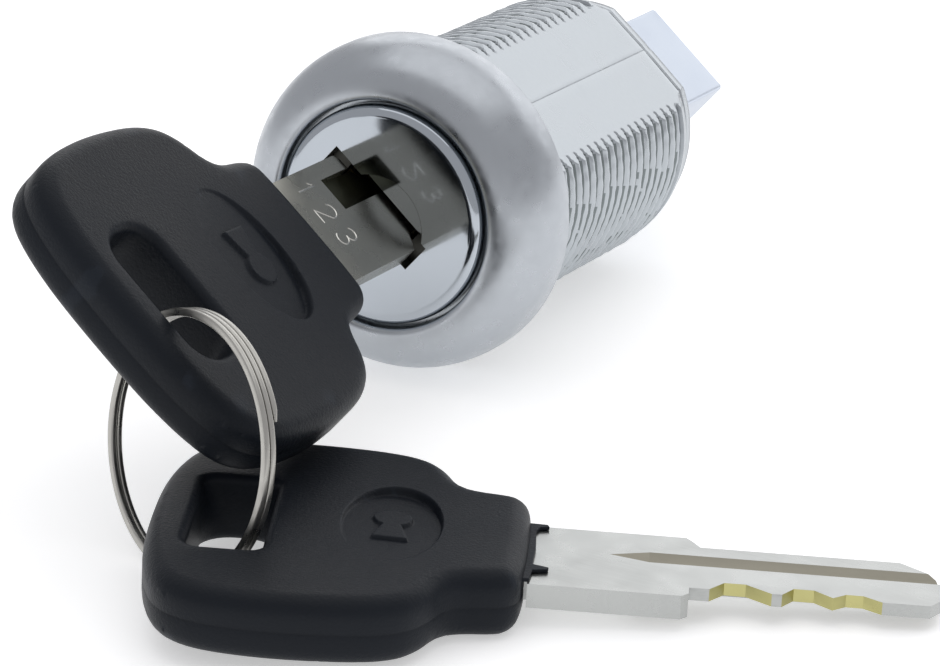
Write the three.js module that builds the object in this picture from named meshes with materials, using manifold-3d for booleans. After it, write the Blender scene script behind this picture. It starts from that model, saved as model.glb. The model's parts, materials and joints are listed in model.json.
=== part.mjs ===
// Cam lock with two overmoulded keys on a split ring, lying as it rests on a flat surface.
// Millimetres, +Z up. The lock's front faces -Y and its square drive tail points to +Y.
//
// Lock-local frame (used for everything that belongs to the lock and to the inserted key):
//   z  runs along the lock axis from the front face to the tail, 0 at the bezel's widest rim
//   x  runs across the width of the key, y across its thickness
// Key-local frame: x from the bow to the tip with 0 at the end of the shoulder,
//   y across the width with the bitted edge at -y, z across the thickness.
import * as THREE from "three";
import { ConvexGeometry } from "three/addons/geometries/ConvexGeometry.js";
import { mergeVertices } from "three/addons/utils/BufferGeometryUtils.js";
import Module from "manifold-3d";

const wasm = await Module();
wasm.setup();

// ---------------------------------------------------------------- driving dimensions
const GAP = 0.3; // clearance kept between separate fixed pieces
const SEG = 48; // facets round the main diameters

const THREAD_R = 11.0; // M22 body
const THREAD_PITCH = 1.25;
const THREAD_DEPTH = 0.55;
const THREAD_START = 2.6;
const THREAD_TURNS = 20;
const BODY_SEG = 40; // facets round the threaded body
const NECK_RISE = 0.05; // plain neck between the flange and the thread, just over the crests
const NECK_LENGTH = 0.7;
const FLAT_HALF = 9.2; // half distance across the two flats
const BODY_END = 29.3;
const BODY_END_R = 10.15;
const SEAT_Z = 1.5; // rear face of the flange, which bears on the panel
const FLANGE_R = 12.4;

const BEZEL_R = 13.25;
const BEZEL_BACK = 1.1;
const BEZEL_WALL = 0.55;
const BEZEL_HOLE_R = 9.0;
const BEZEL_FRONT = -5.2;
const DOME_CENTRE_R = 9.6; // radius at which the domed bezel is highest

const BORE_R = 7.68;
const PLUG_R = 7.6;
const PLUG_FRONT = -3.8;
const PLUG_END = 28.9;
const CAP_R = 8.78;
const CAP_FRONT = -5.4;
const CAP_THICK = 1.3;
const TAIL_HALF = 4.55; // square drive tail, 9.1 mm across
const TAIL_CORNER = 0.35;
const TAIL_END = 45.2;
const CAM_SCREW_R = 2.0;
const CAM_SCREW_DEPTH = 9;

const PLATE_FRONT = BODY_END + GAP;
const PLATE_THICK = 1.1;
const PLATE_HOLE_R = 6.5;

const STOP_LUG_R = 8.4; // lug on the plug that ends its quarter turn
const STOP_LUG_HALF_DEG = 12;
const STOP_LUG_LENGTH = 2.2;
const TURN_DEG = 90;

const KEY_X = -0.9; // the keyway sits off the plug's centre line
const SLOT_HALF_X = 5.25;
const SLOT_HALF_Y = 1.25;
const BLADE_HOLE_HALF_X = 3.8;
const BLADE_HOLE_END = 13.4;
const RECESS_R = 4.15; // half-moon relief beside the key slot
const RECESS_CENTRE = [0.3, 0.95];
const RECESS_DEPTH = 0.6;

const WAFER_FROM_FACE = [3.3, 5.6, 7.9, 10.2, 12.5]; // centre of each wafer behind the face
const WAFER_THICK = 1.1;
const WAFER_SLOT = 1.4;
const WAFER_HALF_X = 6.9;
const WAFER_HALF_Y = 3.0;
const WAFER_SLOT_HALF_Y = 3.1;
const WAFER_WINDOW = [KEY_X - 4.2, KEY_X + 3.8];
const WAFER_WINDOW_HALF_Y = 1.3;
const SPUR = { x0: -1.0, x1: 0.3, y: 4.3 }; // nib that the wafer's spring pushes on
const POCKET = { x0: -4.9, x1: 1.7, y: 4.6 };
const GROOVE_TOP = 8.35; // housing groove that takes the risen wafers
const GROOVE_HALF = 3.35;

const SPRING_R = 0.42;
const SPRING_WIRE_R = 0.11;
const SPRING_TURNS = 4;
const SPRING_Y = 3.72;
const SPRING_X = [-4.5, -1.35];

const KEY_T = 1.8;
const SHOULDER_W = 9.7;
const SHOULDER_L = 11.4; // bare shoulder between the bow and the blade
const TANG_L = 8;
const TANG_HALF = 3.6;
const BLADE_HALF = 3.4;
const BLADE_L = 17.6;
const SIDE_GROOVE = { y0: -3.45, y1: -0.5, depth: 0.85, start: -4.2 }; // open along the bitted edge
const V_GROOVE = { y: 1.1, half: 0.85, depth: 0.55, start: -5.7, runOut: 2.8 };
const GROOVE_JOIN = 0.02; // overlap of the groove's two parts, so that no skin is left between them

const BOW_T = 5.0;
const BOW_EDGE = 1.5; // rounding of the bow's edges
const BOW_HOLE = { x0: -34.7, x1: -29.4, halfY: 5.8, corner: 0.6, bevel: 0.5 };

const RING_R = 9.3; // mean radius of the split ring
const RING_BAND = 0.6; // radial thickness of its flat wire
const RING_WIRE_H = 0.45;
const RING_STEP = 0.5; // rise per turn
const RING_TURNS = 2.3;
const RING_SEG = 36;

// Placement of the pieces as they lie.
const REST_TILT = Math.atan((BEZEL_R - THREAD_R) / 28.5); // bezel rim and thread end both touch down
const LOCK_ROLL = THREE.MathUtils.degToRad(41);
const KEY1_SEAT = -0.3; // shoulder end of the inserted key, measured inwards from the face
const KEY2 = { x: 38.48, y: -30.52, z: 1.8, heading: 23, dip: 3 };
const RING = { x: 4.92, y: -41.45, z: 9.58, normal: [0.411, 0.889, -0.203], spin: 200 };
const ORIGIN = [21.09, -4.55, -0.06]; // middle of the resting footprint, seen from the bezel's lowest point

// ---------------------------------------------------------------- solid helpers
function toSolid(geometry) {
  const g = geometry.index ? geometry.toNonIndexed() : geometry.clone();
  g.deleteAttribute("normal");
  g.deleteAttribute("uv");
  const merged = mergeVertices(g, 1e-4);
  return new wasm.Manifold(
    new wasm.Mesh({
      numProp: 3,
      vertProperties: new Float32Array(merged.attributes.position.array),
      triVerts: new Uint32Array(merged.index.array),
    }),
  );
}

function toGeometry(solid) {
  const mesh = solid.getMesh();
  const g = new THREE.BufferGeometry();
  g.setAttribute("position", new THREE.BufferAttribute(mesh.vertProperties, 3));
  g.setIndex(new THREE.BufferAttribute(mesh.triVerts, 1));
  g.computeVertexNormals();
  return g;
}

function box(x0, x1, y0, y1, z0, z1) {
  const g = new THREE.BoxGeometry(x1 - x0, y1 - y0, z1 - z0);
  return g.translate((x0 + x1) / 2, (y0 + y1) / 2, (z0 + z1) / 2);
}

// A solid of revolution about z from [radius, z] points given anticlockwise in the r-z half plane.
function turned(points, segments = SEG) {
  const g = new THREE.LatheGeometry(
    points.map(([r, z]) => new THREE.Vector2(r, z)),
    segments,
  );
  return g.rotateX(Math.PI / 2);
}

function rod(radius, z0, z1, segments = SEG) {
  const g = new THREE.CylinderGeometry(radius, radius, z1 - z0, segments);
  return g.rotateX(Math.PI / 2).translate(0, 0, (z0 + z1) / 2);
}

function plate(shape, z0, z1, curveSegments = 8) {
  const g = new THREE.ExtrudeGeometry(shape, {
    depth: z1 - z0,
    bevelEnabled: false,
    curveSegments,
  });
  return g.translate(0, 0, z0);
}

function roundedRect(x0, x1, y0, y1, r) {
  const s = new THREE.Shape();
  s.moveTo(x0 + r, y0);
  s.lineTo(x1 - r, y0).absarc(x1 - r, y0 + r, r, -Math.PI / 2, 0);
  s.lineTo(x1, y1 - r).absarc(x1 - r, y1 - r, r, 0, Math.PI / 2);
  s.lineTo(x0 + r, y1).absarc(x0 + r, y1 - r, r, Math.PI / 2, Math.PI);
  s.lineTo(x0, y0 + r).absarc(x0 + r, y0 + r, r, Math.PI, 1.5 * Math.PI);
  return s;
}

function meshOf(name, solid, color, roughness, metalness) {
  const geometry = solid.isBufferGeometry ? solid : toGeometry(solid);
  const material = new THREE.MeshStandardMaterial({ color, roughness, metalness });
  const mesh = new THREE.Mesh(geometry, material);
  mesh.name = name;
  return mesh;
}

const zinc = (name, solid) => meshOf(name, solid, 0xb9c1c8, 0.42, 1);
const chrome = (name, solid) => meshOf(name, solid, 0xc9ced4, 0.1, 1);
const brass = (name, solid) => meshOf(name, solid, 0xc9a94f, 0.35, 1);
const steel = (name, solid) => meshOf(name, solid, 0xa9a9a4, 0.3, 1);
const nickel = (name, solid) => meshOf(name, solid, 0xb9b8b2, 0.35, 1);
const plastic = (name, solid) => meshOf(name, solid, 0x1c1e21, 0.55, 0);

// ---------------------------------------------------------------- lock body
// Half profile of the domed head, from the front hole's edge out to the rim.
function domePoints(inset, steps = 8) {
  const halfWidth = BEZEL_R - DOME_CENTRE_R - inset;
  const height = -BEZEL_FRONT - inset;
  return Array.from({ length: steps + 1 }, (_, i) => {
    const a = (i / steps) * (Math.PI / 2);
    return [DOME_CENTRE_R + halfWidth * Math.sin(a), -height * Math.cos(a)];
  });
}

function threadPoints() {
  const points = [];
  for (let i = 0; i < THREAD_TURNS; i++) {
    const z = THREAD_START + i * THREAD_PITCH;
    points.push([THREAD_R - THREAD_DEPTH, z], [THREAD_R, z + THREAD_PITCH / 2]);
  }
  return points;
}

function housing() {
  const inset = BEZEL_WALL + GAP;
  const lastThread = THREAD_START + THREAD_TURNS * THREAD_PITCH;
  const outline = [
    [BORE_R, CAP_FRONT + CAP_THICK + GAP],
    [BEZEL_HOLE_R + 0.1, CAP_FRONT + CAP_THICK + GAP],
    [BEZEL_HOLE_R + 0.1, BEZEL_FRONT + inset + 0.1],
    ...domePoints(inset, 4),
    [FLANGE_R, SEAT_Z],
    [THREAD_R + NECK_RISE, SEAT_Z],
    [THREAD_R + NECK_RISE, SEAT_Z + NECK_LENGTH],
    ...threadPoints(),
    [THREAD_R - THREAD_DEPTH, lastThread],
    [THREAD_R - 0.1, lastThread + 0.6],
    [BODY_END_R, BODY_END],
    [BORE_R, BODY_END],
    [BORE_R, CAP_FRONT + CAP_THICK + GAP],
  ];
  let solid = toSolid(turned(outline, BODY_SEG));
  for (const side of [-1, 1]) {
    const flat = box(-14, 14, FLAT_HALF, 14, SEAT_Z, BODY_END + 1);
    if (side < 0) flat.rotateZ(Math.PI);
    solid = solid.subtract(toSolid(flat));
  }
  // Grooves for the wafers at rest and after the quarter turn.
  const grooveStart = CAP_FRONT + WAFER_FROM_FACE[0] - WAFER_SLOT;
  const grooveEnd = CAP_FRONT + WAFER_FROM_FACE[WAFER_FROM_FACE.length - 1] + WAFER_SLOT;
  for (const angle of [0, TURN_DEG]) {
    const groove = box(BORE_R - 2, GROOVE_TOP, -GROOVE_HALF, GROOVE_HALF, grooveStart, grooveEnd);
    groove.rotateZ(THREE.MathUtils.degToRad(angle));
    solid = solid.subtract(toSolid(groove));
  }
  // Pocket that lets the plug's lug swing through the quarter turn.
  const lug = stopSector(STOP_LUG_R + GAP, STOP_LUG_HALF_DEG + 3, TURN_DEG);
  const pocket = plate(lug, PLUG_END - STOP_LUG_LENGTH - GAP, BODY_END + 1, 24);
  return zinc("housing", solid.subtract(toSolid(pocket)));
}

// A sector about the -x direction, opened further by `sweep` degrees.
function stopSector(radius, halfDeg, sweep) {
  const from = THREE.MathUtils.degToRad(180 - halfDeg);
  const to = THREE.MathUtils.degToRad(180 + halfDeg + sweep);
  const s = new THREE.Shape();
  s.moveTo(0, 0);
  s.absarc(0, 0, radius, from, to);
  s.lineTo(0, 0);
  return s;
}

function bezel() {
  const outer = domePoints(0);
  const inner = domePoints(BEZEL_WALL, 4).reverse();
  const profile = [
    [BEZEL_HOLE_R, BEZEL_FRONT + 0.35],
    ...outer,
    [BEZEL_R, BEZEL_BACK],
    [BEZEL_R - BEZEL_WALL, BEZEL_BACK],
    ...inner,
    [BEZEL_HOLE_R, BEZEL_FRONT + 0.9],
    [BEZEL_HOLE_R, BEZEL_FRONT + 0.35],
  ];
  return chrome("bezel", toSolid(turned(profile)));
}

function backPlate() {
  const disc = rod(BODY_END_R, PLATE_FRONT, PLATE_FRONT + PLATE_THICK);
  const hole = rod(PLATE_HOLE_R, PLATE_FRONT - 1, PLATE_FRONT + PLATE_THICK + 1, 32);
  let solid = toSolid(disc).subtract(toSolid(hole));
  solid = solid.intersect(toSolid(box(-14, 14, -FLAT_HALF, FLAT_HALF, 0, 60)));
  return zinc("back_plate", solid);
}

// ---------------------------------------------------------------- plug
function plug() {
  const tail = roundedRect(-TAIL_HALF, TAIL_HALF, -TAIL_HALF, TAIL_HALF, TAIL_CORNER);
  let solid = toSolid(rod(PLUG_R, PLUG_FRONT, PLUG_END));
  solid = solid.add(toSolid(plate(tail, PLUG_END - 1, TAIL_END, 4)));
  const lug = stopSector(STOP_LUG_R, STOP_LUG_HALF_DEG, 0);
  solid = solid.add(toSolid(plate(lug, PLUG_END - STOP_LUG_LENGTH, PLUG_END, 6)));
  solid = solid.subtract(toSolid(rod(CAM_SCREW_R, TAIL_END - CAM_SCREW_DEPTH, TAIL_END + 1, 20)));
  const keyway = box(
    KEY_X - BLADE_HOLE_HALF_X,
    KEY_X + BLADE_HOLE_HALF_X,
    -SLOT_HALF_Y,
    SLOT_HALF_Y,
    PLUG_FRONT - 1,
    BLADE_HOLE_END,
  );
  solid = solid.subtract(toSolid(keyway));
  for (const depth of WAFER_FROM_FACE) {
    const z = CAP_FRONT + depth;
    const [z0, z1] = [z - WAFER_SLOT / 2, z + WAFER_SLOT / 2];
    const slot = box(-9, 9, -WAFER_SLOT_HALF_Y, WAFER_SLOT_HALF_Y, z0, z1);
    const pocket = box(POCKET.x0, POCKET.x1, 0, POCKET.y, z0, z1);
    solid = solid.subtract(toSolid(slot)).subtract(toSolid(pocket));
  }
  return zinc("plug", solid);
}

function plugCap() {
  const edge = 0.45;
  const back = CAP_FRONT + CAP_THICK;
  const profile = [
    [0, CAP_FRONT],
    [CAP_R - edge, CAP_FRONT],
    [CAP_R - 0.3 * edge, CAP_FRONT + 0.3 * edge],
    [CAP_R, CAP_FRONT + edge],
    [CAP_R, back],
    [0, back],
  ];
  let solid = toSolid(turned(profile));
  const x0 = KEY_X - SLOT_HALF_X;
  const x1 = KEY_X + SLOT_HALF_X;
  solid = solid.subtract(toSolid(box(x0, x1, -SLOT_HALF_Y, SLOT_HALF_Y, CAP_FRONT - 1, back + 1)));
  const disc = rod(RECESS_R, CAP_FRONT - 1, CAP_FRONT + RECESS_DEPTH, 32);
  disc.translate(RECESS_CENTRE[0], RECESS_CENTRE[1], 0);
  const half = box(-9, 9, -9, -SLOT_HALF_Y / 2, CAP_FRONT - 2, back + 2);
  return chrome("plug_cap", solid.subtract(toSolid(disc).intersect(toSolid(half))));
}

function wafer(index) {
  const z = CAP_FRONT + WAFER_FROM_FACE[index];
  const s = new THREE.Shape();
  s.moveTo(-WAFER_HALF_X, -WAFER_HALF_Y);
  s.lineTo(WAFER_HALF_X, -WAFER_HALF_Y);
  s.lineTo(WAFER_HALF_X, WAFER_HALF_Y);
  s.lineTo(SPUR.x1, WAFER_HALF_Y);
  s.lineTo(SPUR.x1, SPUR.y);
  s.lineTo(SPUR.x0, SPUR.y);
  s.lineTo(SPUR.x0, WAFER_HALF_Y);
  s.lineTo(-WAFER_HALF_X, WAFER_HALF_Y);
  const [w0, w1] = WAFER_WINDOW;
  s.holes.push(roundedRect(w0, w1, -WAFER_WINDOW_HALF_Y, WAFER_WINDOW_HALF_Y, 0.3));
  return brass(`wafer_${index + 1}`, plate(s, z - WAFER_THICK / 2, z + WAFER_THICK / 2, 2));
}

class Coil extends THREE.Curve {
  constructor(radius, turns, place) {
    super();
    Object.assign(this, { radius, turns, place });
  }
  getPoint(t, target = new THREE.Vector3()) {
    const a = 2 * Math.PI * this.turns * t;
    return this.place(target, this.radius * Math.cos(a), this.radius * Math.sin(a), t);
  }
}

function waferSpring(index) {
  const z = CAP_FRONT + WAFER_FROM_FACE[index];
  const [x0, x1] = SPRING_X;
  const coil = new Coil(SPRING_R, SPRING_TURNS, (v, a, b, t) =>
    v.set(x0 + (x1 - x0) * t, SPRING_Y + a, z + b),
  );
  const wire = new THREE.Shape();
  for (let i = 0; i < 5; i++) {
    const a = (i / 5) * 2 * Math.PI;
    wire[i ? "lineTo" : "moveTo"](SPRING_WIRE_R * Math.cos(a), SPRING_WIRE_R * Math.sin(a));
  }
  const steps = SPRING_TURNS * 8;
  const g = new THREE.ExtrudeGeometry(wire, { steps, extrudePath: coil, bevelEnabled: false });
  return steel(`wafer_spring_${index + 1}`, toSolid(g));
}

// ---------------------------------------------------------------- keys
// Bitted edge from the shoulder to the tip: [distance from the shoulder, depth of cut].
const BITTING = [
  [1.4, 0], [2.4, 1.2], [3.9, 1.2], [5.7, 0], [6.4, 0], [7.2, 1.1], [8.6, 1.1], [9.9, 0.1],
  [10.8, 0.8], [12.0, 0.8], [13.3, 0], [16.6, 0],
];

function keyOutline() {
  const s = new THREE.Shape();
  const half = SHOULDER_W / 2;
  const bow = -SHOULDER_L + GAP;
  s.moveTo(bow - TANG_L, -TANG_HALF);
  s.lineTo(bow, -TANG_HALF);
  s.lineTo(bow, -half);
  s.lineTo(-0.5, -half);
  s.lineTo(0, -half + 0.5);
  s.lineTo(0, -BLADE_HALF);
  for (const [x, cut] of BITTING) s.lineTo(x, -BLADE_HALF + cut);
  s.lineTo(BLADE_L - 0.2, -BLADE_HALF + 1.1);
  s.lineTo(BLADE_L, 0.4);
  s.lineTo(BLADE_L - 0.5, 1.5);
  s.lineTo(BLADE_L - 3.0, BLADE_HALF);
  s.lineTo(0.6, BLADE_HALF);
  s.lineTo(0, half - 0.5);
  s.lineTo(-0.4, half);
  s.lineTo(bow, half);
  s.lineTo(bow, TANG_HALF);
  s.lineTo(bow - TANG_L, TANG_HALF);
  return s;
}

function keyBlade(name) {
  const t = KEY_T / 2;
  let solid = toSolid(plate(keyOutline(), -t, t));
  const g = SIDE_GROOVE;
  solid = solid.subtract(toSolid(box(g.start, BLADE_L + 1, g.y0, g.y1, -t - 1, -t + g.depth)));
  const v = V_GROOVE;
  const cut = new THREE.Shape();
  cut.moveTo(v.y - v.half, t + 0.01);
  cut.lineTo(v.y, t - v.depth);
  cut.lineTo(v.y + v.half, t + 0.01);
  const fullFrom = v.start + v.runOut;
  const wedge = plate(cut, fullFrom, BLADE_L + 1);
  wedge.rotateX(Math.PI / 2).rotateZ(Math.PI / 2); // profile y,z swept along x
  // The groove narrows to a point where the cutter lifts out.
  const point = new ConvexGeometry([
    new THREE.Vector3(v.start, v.y, t + 0.01),
    new THREE.Vector3(fullFrom + GROOVE_JOIN, v.y - v.half, t + 0.01),
    new THREE.Vector3(fullFrom + GROOVE_JOIN, v.y, t - v.depth),
    new THREE.Vector3(fullFrom + GROOVE_JOIN, v.y + v.half, t + 0.01),
  ]);
  return nickel(name, solid.subtract(toSolid(wedge)).subtract(toSolid(point)));
}

// Half outline of the bow, from its front towards its end: [x, half width].
const BOW_HALF = [
  [-11.3, 5.5], [-12.0, 6.9], [-13.1, 7.4], [-15.6, 7.7], [-16.7, 8.7], [-17.6, 10.8],
  [-19.0, 12.4], [-21.6, 13.4], [-27.0, 13.9], [-31.4, 13.6], [-34.2, 12.8], [-36.1, 11.2],
  [-37.2, 8.2], [-37.8, 4.0],
];

// Moves a closed outline inwards by `distance`, keeping its sides parallel.
function inset(points, distance) {
  const normal = ([ax, ay], [bx, by]) => {
    const length = Math.hypot(bx - ax, by - ay);
    return [(by - ay) / length, (ax - bx) / length];
  };
  return points.map((p, i) => {
    const before = normal(points.at(i - 1), p);
    const after = normal(p, points[(i + 1) % points.length]);
    const sum = [before[0] + after[0], before[1] + after[1]];
    const k = (2 * distance) / (sum[0] ** 2 + sum[1] ** 2);
    return [p[0] - k * sum[0], p[1] - k * sum[1]];
  });
}

function keyBow(name) {
  const outline = [...BOW_HALF, ...BOW_HALF.map(([x, y]) => [x, -y]).reverse()];
  const s = new THREE.Shape(inset(outline, BOW_EDGE).map(([x, y]) => new THREE.Vector2(x, y)));
  const body = new THREE.ExtrudeGeometry(s, {
    depth: BOW_T - 2 * BOW_EDGE,
    bevelThickness: BOW_EDGE,
    bevelSize: BOW_EDGE,
    bevelSegments: 3,
  });
  body.translate(0, 0, BOW_EDGE - BOW_T / 2);
  const { x0, x1, halfY, corner, bevel } = BOW_HOLE;
  const opening = roundedRect(x0, x1, -halfY, halfY, corner);
  // Wide part of the opening at one face of the bow, tapering down to the opening's own size.
  const mouth = new THREE.ExtrudeGeometry(opening, {
    depth: 1,
    bevelThickness: bevel,
    bevelSize: bevel,
    bevelSegments: 1,
    curveSegments: 3,
  });
  mouth.translate(0, 0, BOW_T / 2);
  const otherMouth = mouth.clone().rotateX(Math.PI);
  const socketHalf = TANG_HALF + GAP;
  const socketDepth = KEY_T / 2 + GAP;
  const bladeEnd = -SHOULDER_L - TANG_L;
  return plastic(
    name,
    toSolid(body)
      .subtract(toSolid(plate(opening, -BOW_T, BOW_T, 3)))
      .subtract(toSolid(mouth))
      .subtract(toSolid(otherMouth))
      .subtract(
        toSolid(box(bladeEnd, -SHOULDER_L + 1, -socketHalf, socketHalf, -socketDepth, socketDepth)),
      ),
  );
}

function key(number) {
  const group = new THREE.Group();
  group.add(keyBlade(`key_${number}_blade`), keyBow(`key_${number}_bow`));
  return group;
}

// ---------------------------------------------------------------- split ring
function splitRing() {
  const rise = RING_STEP * RING_TURNS;
  const coil = new Coil(RING_R, RING_TURNS, (v, a, b, t) => v.set(a, b, rise * (t - 0.5)));
  const steps = Math.round(RING_TURNS * RING_SEG);
  // The band's section stays square to the ring's plane, so it is laid out point by point.
  const position = [];
  const index = [];
  const section = [
    [-RING_BAND / 2, -RING_WIRE_H / 2], [RING_BAND / 2, -RING_WIRE_H / 2],
    [RING_BAND / 2, RING_WIRE_H / 2], [-RING_BAND / 2, RING_WIRE_H / 2],
  ];
  for (let i = 0; i <= steps; i++) {
    const p = coil.getPoint(i / steps);
    const k = 1 / Math.hypot(p.x, p.y);
    for (const [dr, dz] of section) position.push(p.x + p.x * k * dr, p.y + p.y * k * dr, p.z + dz);
  }
  for (let i = 0; i < steps; i++) {
    for (let j = 0; j < 4; j++) {
      const [a, b] = [i * 4 + j, i * 4 + ((j + 1) % 4)];
      index.push(a, a + 4, b, b, a + 4, b + 4);
    }
  }
  const last = steps * 4;
  index.push(0, 1, 2, 0, 2, 3, last, last + 2, last + 1, last, last + 3, last + 2);
  const g = new THREE.BufferGeometry();
  g.setAttribute("position", new THREE.Float32BufferAttribute(position, 3));
  g.setIndex(index);
  return steel("split_ring", g);
}

// ---------------------------------------------------------------- assembly
function lock() {
  const group = new THREE.Group();
  group.add(housing(), bezel(), backPlate(), plug(), plugCap());
  WAFER_FROM_FACE.forEach((_, i) => group.add(wafer(i), waferSpring(i)));
  const inserted = key(1);
  // Key x becomes the lock axis, and the bitted edge turns to the lock's -x side.
  inserted.matrixAutoUpdate = false;
  inserted.matrix.makeBasis(
    new THREE.Vector3(0, 0, 1),
    new THREE.Vector3(1, 0, 0),
    new THREE.Vector3(0, 1, 0),
  );
  inserted.matrix.setPosition(KEY_X, 0, CAP_FRONT + KEY1_SEAT);
  group.add(inserted);
  group.rotation.x = -Math.PI / 2;
  const rolled = new THREE.Group();
  rolled.rotation.y = LOCK_ROLL;
  rolled.add(group);
  const tilted = new THREE.Group();
  tilted.rotation.x = -REST_TILT;
  tilted.position.set(0, BEZEL_R * Math.sin(REST_TILT), BEZEL_R * Math.cos(REST_TILT));
  tilted.add(rolled);
  return tilted;
}

function looseKey() {
  const pose = new THREE.Group();
  pose.position.set(KEY2.x, KEY2.y, KEY2.z);
  pose.rotation.set(0, 0, THREE.MathUtils.degToRad(KEY2.heading));
  const dipped = key(2);
  dipped.rotation.y = THREE.MathUtils.degToRad(KEY2.dip);
  pose.add(dipped);
  return pose;
}

function lyingRing() {
  const ring = splitRing();
  const toward = new THREE.Vector3(...RING.normal).normalize();
  const spin = new THREE.Quaternion().setFromAxisAngle(
    new THREE.Vector3(0, 0, 1),
    THREE.MathUtils.degToRad(RING.spin),
  );
  ring.quaternion.setFromUnitVectors(new THREE.Vector3(0, 0, 1), toward).multiply(spin);
  ring.position.set(RING.x, RING.y, RING.z);
  return ring;
}

const root = new THREE.Group();
root.position.set(-ORIGIN[0], -ORIGIN[1], -ORIGIN[2]);
root.add(lock(), looseKey(), lyingRing());

export default root;
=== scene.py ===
import json
import math
import bmesh
import bpy
import numpy as np
from mathutils import Matrix, Vector
from mathutils.geometry import delaunay_2d_cdt


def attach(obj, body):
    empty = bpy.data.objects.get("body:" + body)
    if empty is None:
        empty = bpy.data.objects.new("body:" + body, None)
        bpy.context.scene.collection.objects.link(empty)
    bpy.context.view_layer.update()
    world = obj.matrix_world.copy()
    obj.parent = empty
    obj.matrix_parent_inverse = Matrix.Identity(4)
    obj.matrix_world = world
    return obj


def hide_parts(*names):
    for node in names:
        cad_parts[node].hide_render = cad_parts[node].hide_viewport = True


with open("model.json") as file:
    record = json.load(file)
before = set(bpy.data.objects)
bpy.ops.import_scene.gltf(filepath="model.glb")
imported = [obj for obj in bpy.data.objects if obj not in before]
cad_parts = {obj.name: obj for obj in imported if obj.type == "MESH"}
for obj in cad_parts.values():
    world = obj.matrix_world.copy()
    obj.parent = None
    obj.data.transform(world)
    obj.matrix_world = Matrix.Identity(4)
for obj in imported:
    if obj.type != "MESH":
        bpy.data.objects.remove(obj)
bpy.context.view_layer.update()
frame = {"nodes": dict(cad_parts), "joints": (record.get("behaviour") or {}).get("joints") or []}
MM = 0.001


# ------------------------------------------------------------------ local frames, in the row frame
def place(origin, x_axis, z_axis):
    z = Vector(z_axis).normalized()
    x = Vector(x_axis)
    x = (x - z * x.dot(z)).normalized()
    y = z.cross(x)
    turn = Matrix((x, y, z)).transposed().to_4x4()
    return Matrix.Translation(Vector(origin)) @ turn


JOINT = {j["name"]: j for j in frame["joints"]}
LOCK_X = Vector(JOINT["wafer_1_slide"]["axis"])
LOCK = place(JOINT["plug_turn"]["pos_m"], LOCK_X, JOINT["plug_turn"]["axis"])
BOW_WEB_X = -35.65  # where the ring passes round the end of a bow, in the key's own frame
KEY_FORWARD = -Vector(JOINT["key_slide"]["axis"]).normalized()
KEY_2_AT = Vector((17.39, -25.97, 1.86))
KEY_2_HEADING = math.radians(23)
KEY_2_DIP = math.radians(3)
COIL_START = (-0.58391, 0.42754, 0.69011)  # where the ring's wire begins, seen from its centre
KEY_1 = place(
    Vector(JOINT["ring_swing"]["pos_m"]) - KEY_FORWARD * BOW_WEB_X * MM,
    KEY_FORWARD,
    KEY_FORWARD.cross(LOCK_X),
)
KEY_2 = (
    Matrix.Translation(KEY_2_AT * MM)
    @ Matrix.Rotation(KEY_2_HEADING, 4, "Z")
    @ Matrix.Rotation(KEY_2_DIP, 4, "Y")
)
RING = place(JOINT["key_2_swing"]["pos_m"], COIL_START, JOINT["key_2_swing"]["axis"])


# ------------------------------------------------------------------ camera
CAMERA_AT = Vector((133.538, -286.134, 132.965))
LOOKS_DOWN = 21.615
HEADING = 27.1287
camera_data = bpy.data.cameras.new("camera")
camera = bpy.data.objects.new("camera", camera_data)
bpy.context.scene.collection.objects.link(camera)
bpy.context.scene.camera = camera
camera_data.lens = 172.34
camera_data.sensor_width = 36
camera_data.clip_end = 10
camera.location = CAMERA_AT * MM
camera.rotation_euler = (math.radians(90 - LOOKS_DOWN), 0, math.radians(HEADING))


# ------------------------------------------------------------------ materials
BRUSH_STRETCH = (1, 40, 40)  # how much finer the lines are across the brushing than along it


def material(name, color, metallic, roughness, build, specular=0.5):
    """A material whose node tree is finished by build(tree, shader, color, roughness)."""
    mat = bpy.data.materials.new(name)
    mat.use_nodes = True
    tree = mat.node_tree
    shader = tree.nodes["Principled BSDF"]
    shader.inputs["Base Color"].default_value = (*color, 1)
    shader.inputs["Metallic"].default_value = metallic
    shader.inputs["Roughness"].default_value = roughness
    shader.inputs["Specular IOR Level"].default_value = specular
    build(tree, shader, color, roughness)
    return mat


def coords(tree, scale=(1, 1, 1), rotation=(0, 0, 0)):
    where = tree.nodes.new("ShaderNodeTexCoord")
    mapping = tree.nodes.new("ShaderNodeMapping")
    mapping.inputs["Scale"].default_value = scale
    mapping.inputs["Rotation"].default_value = rotation
    tree.links.new(where.outputs["Object"], mapping.inputs["Vector"])
    return mapping.outputs["Vector"]


def noise(tree, scale, detail=3, vector=None, rough=0.5):
    node = tree.nodes.new("ShaderNodeTexNoise")
    node.inputs["Scale"].default_value = scale
    node.inputs["Detail"].default_value = detail
    node.inputs["Roughness"].default_value = rough
    tree.links.new(vector if vector else coords(tree), node.inputs["Vector"])
    return node.outputs["Fac"]


def ramp(tree, value, low, high, a, b):
    """Carries a value from the range low to high over to the range a to b."""
    node = tree.nodes.new("ShaderNodeMapRange")
    node.inputs["From Min"].default_value = low
    node.inputs["From Max"].default_value = high
    node.inputs["To Min"].default_value = a
    node.inputs["To Max"].default_value = b
    tree.links.new(value, node.inputs["Value"])
    return node.outputs["Result"]


def mix(tree, factor, a, b):
    node = tree.nodes.new("ShaderNodeMix")
    node.data_type = "RGBA"
    tree.links.new(factor, node.inputs["Factor"])
    for socket, value in (("A", a), ("B", b)):
        slot = [i for i in node.inputs if i.name == socket and i.type == "RGBA"][0]
        if isinstance(value, tuple):
            slot.default_value = (*value, 1)
        else:
            tree.links.new(value, slot)
    return [o for o in node.outputs if o.type == "RGBA"][0]


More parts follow.
